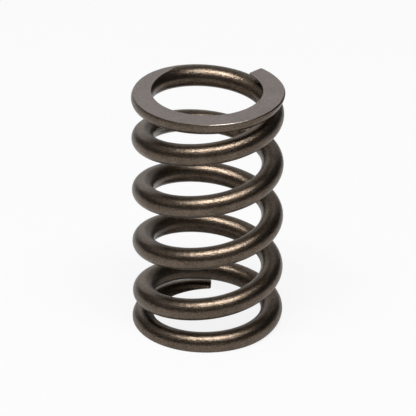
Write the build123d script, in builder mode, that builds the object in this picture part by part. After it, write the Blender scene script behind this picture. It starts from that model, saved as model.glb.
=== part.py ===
from build123d import *
import os
from dataclasses import dataclass
from math import cos, pi, radians, sin

os.makedirs("parts", exist_ok=True)

# An engine valve spring: one length of round wire, coiled right hand, with both end coils closed
# and ground flat. The coil axis is Z and the lower ground face lies at Z = 0.
# Sizes are in millimetres, angles in degrees, and places along the wire in turns.

# Wire and coil
wire_diameter = 4.6
outside_diameter = 31.75
free_length = 53.36
total_turns = 5.879
lower_tip_azimuth = 87.7

# Each end coil, counted in turns from its tip: nearly level at first, then opening to the active pitch
lower_level_turns = 0.55
lower_active_turns = 1.91
upper_level_turns = 0.39
upper_active_turns = 2.03
opening_power = 2.6

# The last of the wire bends outward, and grinding leaves each tip this thick
lower_tip_kick = 1.24
lower_tip_thickness = 0.95
upper_tip_kick = 1.51
upper_tip_thickness = 0.99

# Room between each tip and the coil it closes on, and the tip's outward flare
lower_tip_gap = 0.92
upper_tip_gap = 0.7
lower_tip_flare = 0.6
upper_tip_flare = 0.4
flare_turns = 0.5

# Broken edges of the ground faces, and of the rims of the wire's two cut ends
outer_edge_break = 0.1
inner_edge_break = 0.1
rim_break = 0.25

# Points that carry the centre line through each turn
points_per_turn = 16

wire_radius = wire_diameter / 2
coil_radius = (outside_diameter - wire_diameter) / 2


def opened_share(x):
    """Area under a step that eases up from 0 at x = 0 to 1 at x = 1, and then stays at 1."""
    power = opening_power + 1
    if x <= 0:
        return 0.0
    if x >= 1:
        return x - 1 / power
    return x - (1 - (1 - x) ** power) / power


@dataclass
class ClosedEnd:
    """One end of the coil, measured from its tip towards the middle of the spring."""

    level_turns: float
    active_turns: float
    tip_kick: float
    tip_gap: float
    tip_flare: float

    def opened(self, turns):
        """Part of these turns that is wound at the active pitch."""
        width = self.active_turns - self.level_turns
        return width * opened_share((turns - self.level_turns) / width)

    def kicked(self, turns):
        """How far the level coil stands off the tip, which bends outward from it."""
        return self.tip_kick * (1 - max(0, 1 - turns / self.level_turns) ** 3)

    def level_pitch(self, active_pitch):
        """Pitch of the nearly level stretch that brings the tip down to the next coil, one turn on."""
        one_turn = wire_diameter + self.tip_gap
        return (one_turn - self.kicked(1) - active_pitch * self.opened(1)) / (1 - self.opened(1))

    def rise(self, turns, active_pitch):
        """Height of the wire's centre above its centre at the tip."""
        level = self.level_pitch(active_pitch) * (turns - self.opened(turns))
        return level + active_pitch * self.opened(turns) + self.kicked(turns)

    def radius(self, turns):
        """Radius of the coil, which flares a little towards the tip."""
        return coil_radius + self.tip_flare * max(0, 1 - turns / flare_turns) ** 2


lower_end = ClosedEnd(lower_level_turns, lower_active_turns, lower_tip_kick, lower_tip_gap, lower_tip_flare)
upper_end = ClosedEnd(upper_level_turns, upper_active_turns, upper_tip_kick, upper_tip_gap, upper_tip_flare)

# Heights of the wire's centre at its two tips: grinding leaves each tip at its thickness
lower_tip_z = lower_tip_thickness - wire_radius
upper_tip_z = free_length - upper_tip_thickness + wire_radius
half_turns = total_turns / 2


def rise_at(active_pitch):
    """Rise from tip to tip when the middle of the spring has this pitch."""
    return lower_end.rise(half_turns, active_pitch) + upper_end.rise(half_turns, active_pitch)


# The rise is linear in the active pitch, so two trial pitches give the one that fills the free length
rise_when_flat = rise_at(0)
rise_per_pitch = rise_at(1) - rise_when_flat
active_pitch = (upper_tip_z - lower_tip_z - rise_when_flat) / rise_per_pitch


def centre_point(turns):
    """Point on the wire's centre line, this many turns from the lower tip."""
    turns_left = total_turns - turns
    if turns < half_turns:
        radius = lower_end.radius(turns)
        height = lower_tip_z + lower_end.rise(turns, active_pitch)
    else:
        radius = upper_end.radius(turns_left)
        height = upper_tip_z - upper_end.rise(turns_left, active_pitch)
    angle = radians(lower_tip_azimuth) + 2 * pi * turns
    return (radius * cos(angle), radius * sin(angle), height)


# Half-section of what grinding leaves: flat ends, with 45 degree breaks that open out past the wire
inside_radius = coil_radius - wire_radius
outside_radius = coil_radius + wire_radius
reach = wire_radius
grind_section = [
    (inside_radius + inner_edge_break, 0),
    (outside_radius - outer_edge_break, 0),
    (outside_radius + reach, outer_edge_break + reach),
    (outside_radius + reach, free_length - outer_edge_break - reach),
    (outside_radius - outer_edge_break, free_length),
    (inside_radius + inner_edge_break, free_length),
    (inside_radius - reach, free_length - inner_edge_break - reach),
    (inside_radius - reach, inner_edge_break + reach),
]

# Half-section of the 45 degree cut round the rim of a cut end: distance from the wire's axis, and
# distance out past the end
rim_cut = [
    (wire_radius - 2 * rim_break, rim_break),
    (wire_radius + rim_break, -2 * rim_break),
    (wire_radius + rim_break, rim_break),
]

# The spring: round wire swept along the centre line, the rims of its cut ends broken, then both
# end coils ground flat and their edges broken
steps = round(total_turns * points_per_turn)
with BuildPart() as valve_spring:
    with BuildLine():
        centre_line = Spline(*[centre_point(total_turns * i / steps) for i in range(steps + 1)])
    with BuildSketch(Plane(origin=centre_line @ 0, z_dir=centre_line % 0)):
        Circle(wire_radius)
    sweep(path=centre_line, is_frenet=True)
    for end, away in ((0, -1), (1, 1)):
        tip = centre_line @ end
        outward = (centre_line % end) * away
        side = outward.cross(Vector(0, 0, 1))
        with BuildSketch(Plane(origin=tip, x_dir=side, z_dir=side.cross(outward))):
            Polygon(*rim_cut, align=None)
        revolve(axis=Axis(tip, outward), mode=Mode.SUBTRACT)
    with BuildSketch(Plane.XZ):
        Polygon(*grind_section, align=None)
    revolve(axis=Axis.Z, mode=Mode.INTERSECT)

valve_spring.part.label = "valve_spring"
export_step(valve_spring.part, "parts/valve_spring.step")

print(f"active pitch {active_pitch:.2f} mm, wire length {centre_line.length:.0f} mm")
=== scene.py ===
from math import cos, radians, sin

import bpy
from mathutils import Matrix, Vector


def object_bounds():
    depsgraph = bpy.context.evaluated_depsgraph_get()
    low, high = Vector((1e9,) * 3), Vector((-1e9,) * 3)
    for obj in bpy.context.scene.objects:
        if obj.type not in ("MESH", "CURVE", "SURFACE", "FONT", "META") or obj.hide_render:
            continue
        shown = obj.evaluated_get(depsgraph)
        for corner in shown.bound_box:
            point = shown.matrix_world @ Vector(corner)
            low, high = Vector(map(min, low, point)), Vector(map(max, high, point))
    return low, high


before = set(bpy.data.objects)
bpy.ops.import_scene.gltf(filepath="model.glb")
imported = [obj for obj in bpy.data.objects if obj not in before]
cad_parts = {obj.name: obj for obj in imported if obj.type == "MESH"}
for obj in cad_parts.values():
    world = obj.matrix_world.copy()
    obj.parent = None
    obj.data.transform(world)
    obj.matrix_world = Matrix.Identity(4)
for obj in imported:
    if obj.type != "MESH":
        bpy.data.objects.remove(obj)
cad_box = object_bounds()

# The valve spring stands on its lower ground face, with the coil axis on Z. Metres throughout.
SPRING = "valve_spring"
LOWER_FACE = cad_box[0].z
UPPER_FACE = cad_box[1].z
MIDDLE = Vector((0, 0, (LOWER_FACE + UPPER_FACE) / 2))
HALF_HEIGHT = UPPER_FACE - MIDDLE.z

# The photograph's camera: in front of the spring, looking along +Y and down
CAMERA_ELEVATION = radians(27.88)
CAMERA_DISTANCE = 0.7677
CAMERA_LENS = 315.7
CAMERA_ORBIT = Vector((0, 0, 0.02266))
CAMERA_AIM = Vector((0.00007, 0, 0.02611))

# Soft boxes that face the middle of the spring: name, azimuth, elevation, distance, size across and
# up, and radiant power in watts. Azimuth 0 is the camera's side, and it grows towards +X.
LAMPS = [
    ("key", -1, 73, 0.62, (0.56, 0.20), 5.5),
    ("front", 0, 34, 0.70, (0.80, 0.22), 0.21),
    ("left", -90, 45, 0.70, (0.80, 0.60), 0.47),
    ("back_high", 180, 50, 0.70, (0.60, 0.30), 0.30),
    ("back_left", -164, 18, 0.70, (0.50, 0.35), 0.48),
    ("back_right", 162, 16, 0.70, (0.40, 0.35), 0.19),
]

# Even white light from all round
AMBIENT = 0.04

# The floor lies just under the spring. The camera sees it mostly as plain white, with the spring's
# faint shadow on it, and reflections see it partly so.
FLOOR_SIZE = 12
FLOOR_GAP = 0.00005
FLOOR_COLOUR = (0.6, 0.6, 0.6, 1)
FLOOR_WHITE_SHARE = 0.87
FLOOR_GLOSS_SHARE = 0.15
WHITE = (1, 1, 1, 1)

# The wire: bronze between a darker and a lighter tone
WIRE_DARK = (0.081, 0.061, 0.044, 1)
WIRE_LIGHT = (0.190, 0.147, 0.111, 1)
WIRE_TONES = (0.40, 0.60)
WIRE_ROUGHNESS = 0.29

# The ground faces: matt grey between two tones, within this depth of their planes
GROUND_DARK = (0.212, 0.187, 0.174, 1)
GROUND_LIGHT = (0.330, 0.290, 0.272, 1)
GROUND_TONES = (0.36, 0.64)
GROUND_ROUGHNESS = 0.6
GROUND_DEPTH = 0.000005

# The broken edges round the ground faces, at 45 degrees and this high: a lighter steel colour on
# them is a painted highlight along the rim
RIM_HIGHLIGHT_STEEL = (0.38, 0.33, 0.30, 1)
EDGE_BREAK = 0.0001
EDGE_SLOPE = cos(radians(45))
EDGE_SLOPE_RANGE = 0.03

# Grain: patches a metre, octaves of detail and their roughness. Broad mottling and fine speckle
# set the tone, and dimples of shot peening or grinding stand this deep.
MOTTLE = (260, 4, 0.6)
SPECKLE = (3800, 2, 0.6)
SPECKLE_SHARE = 0.75
PEENING = (3200, 2, 0.5)
GRINDING = (4000, 2, 0.5)
GRAIN_DEPTH = 0.00007


def add_camera():
    """A long lens that frames the spring as the photograph does."""
    data = bpy.data.cameras.new("camera")
    data.lens = CAMERA_LENS
    camera = bpy.data.objects.new("camera", data)
    bpy.context.scene.collection.objects.link(camera)
    back = Vector((0, -cos(CAMERA_ELEVATION), sin(CAMERA_ELEVATION)))
    camera.location = CAMERA_ORBIT + CAMERA_DISTANCE * back
    camera.rotation_euler = (CAMERA_AIM - camera.location).to_track_quat("-Z", "Y").to_euler()
    bpy.context.scene.camera = camera


class Material:
    """A node material, built one node at a time."""

    def __init__(self, name):
        self.material = bpy.data.materials.new(name)
        self.material.use_nodes = True
        self.tree = self.material.node_tree
        self.tree.nodes.clear()

    def node(self, kind, inputs=None, **settings):
        """Adds a node, sets its properties, and sets or links its inputs."""
        made = self.tree.nodes.new("ShaderNode" + kind)
        for key, value in settings.items():
            setattr(made, key, value)
        for key, value in (inputs or {}).items():
            if isinstance(value, bpy.types.NodeSocket):
                self.tree.links.new(value, made.inputs[key])
            else:
                made.inputs[key].default_value = value
        return made

    def maths(self, operation, *values):
        """The result of one operation on up to three values."""
        return self.node("Math", dict(enumerate(values)), operation=operation).outputs[0]

    def noise(self, place, grain):
        """Noise with a grain's scale, detail and roughness."""
        scale, detail, roughness = grain
        inputs = {"Vector": place, "Scale": scale, "Detail": detail, "Roughness": roughness}
        return self.node("TexNoise", inputs).outputs["Fac"]

    def mix_values(self, share, first, second):
        return self.node("Mix", {0: share, 2: first, 3: second}, data_type="FLOAT").outputs[0]

    def mix_colours(self, share, first, second):
        return self.node("Mix", {0: share, 6: first, 7: second}, data_type="RGBA").outputs[2]

    def tones(self, value, places, dark, light):
        """Colours from dark to light as the value goes from one place to the other."""
        made = self.node("ValToRGB", {"Fac": value})
        for element, position, colour in zip(made.color_ramp.elements, places, (dark, light)):
            element.position, element.color = position, colour
        return made.outputs[0]

    def finish(self, surface):
        self.node("OutputMaterial", {"Surface": surface})
        return self.material


def spring_material():
    """Shot-peened bronze on the wire, matt grey on the ground faces, and a painted highlight in
    lighter steel on their broken edges.
    """
    m = Material("spring_steel")
    place = m.node("TexCoord").outputs["Object"]

    # The ground faces lie in two planes, and their broken edges slope at 45 degrees right beside
    up = m.node("SeparateXYZ", {0: place}).outputs["Z"]
    away = m.maths("ABSOLUTE", m.maths("SUBTRACT", up, MIDDLE.z))
    ground = m.maths("GREATER_THAN", away, HALF_HEIGHT - GROUND_DEPTH)
    beside = m.maths("GREATER_THAN", away, HALF_HEIGHT - EDGE_BREAK)
    normal = m.node("NewGeometry").outputs["True Normal"]
    steep = m.maths("ABSOLUTE", m.node("SeparateXYZ", {0: normal}).outputs["Z"])
    rim_highlight = m.maths("MULTIPLY", beside, m.maths("COMPARE", steep, EDGE_SLOPE, EDGE_SLOPE_RANGE))

    tone = m.mix_values(SPECKLE_SHARE, m.noise(place, MOTTLE), m.noise(place, SPECKLE))
    bronze = m.tones(tone, WIRE_TONES, WIRE_DARK, WIRE_LIGHT)
    grey = m.tones(tone, GROUND_TONES, GROUND_DARK, GROUND_LIGHT)
    # The lighter steel on the broken edges is a painted highlight along the rim
    colour = m.mix_colours(ground, m.mix_colours(rim_highlight, bronze, RIM_HIGHLIGHT_STEEL), grey)

    height = m.mix_values(ground, m.noise(place, PEENING), m.noise(place, GRINDING))
    bump = m.node("Bump", {"Height": height, "Strength": 1, "Distance": GRAIN_DEPTH}).outputs[0]

    shader = m.node("BsdfPrincipled", {
        "Base Color": colour,
        "Roughness": m.mix_values(ground, WIRE_ROUGHNESS, GROUND_ROUGHNESS),
        "Metallic": 1,
        "Normal": bump,
    })
    return m.finish(shader.outputs[0])


def floor_material():
    """Pale and matt, and mixed with plain white by the kind of ray that sees it."""
    m = Material("floor")
    lit = m.node("BsdfDiffuse", {"Color": FLOOR_COLOUR}).outputs[0]
    white = m.node("Emission", {"Color": WHITE, "Strength": 1}).outputs[0]
    rays = m.node("LightPath").outputs
    seen = m.maths("MULTIPLY", rays["Is Camera Ray"], FLOOR_WHITE_SHARE)
    glossy = m.maths("ADD", rays["Is Glossy Ray"], rays["Is Transmission Ray"])
    share = m.maths("ADD", seen, m.maths("MULTIPLY", glossy, FLOOR_GLOSS_SHARE))
    return m.finish(m.node("MixShader", {0: share, 1: lit, 2: white}).outputs[0])


def add_floor():
    bpy.ops.mesh.primitive_plane_add(size=FLOOR_SIZE, location=(0, 0, LOWER_FACE - FLOOR_GAP))
    floor = bpy.context.object
    floor.name = "floor"
    floor.data.materials.append(floor_material())


def add_lamp(name, azimuth, elevation, distance, size, power):
    """A soft box that faces the middle of the spring."""
    data = bpy.data.lights.new(name, "AREA")
    data.shape = "RECTANGLE"
    data.size, data.size_y = size
    data.energy = power
    lamp = bpy.data.objects.new(name, data)
    bpy.context.scene.collection.objects.link(lamp)
    a, e = radians(azimuth), radians(elevation)
    lamp.location = MIDDLE + distance * Vector((sin(a) * cos(e), -cos(a) * cos(e), sin(e)))
    lamp.rotation_euler = (MIDDLE - lamp.location).to_track_quat("-Z", "Y").to_euler()


def add_world():
    world = bpy.data.worlds.new("studio")
    bpy.context.scene.world = world
    world.use_nodes = True
    background = world.node_tree.nodes["Background"]
    background.inputs["Color"].default_value = WHITE
    background.inputs["Strength"].default_value = AMBIENT


add_camera()
add_floor()
add_world()
for lamp in LAMPS:
    add_lamp(*lamp)
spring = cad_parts[SPRING].data
spring.materials.clear()
spring.materials.append(spring_material())

bpy.context.scene.view_settings.view_transform = "Standard"
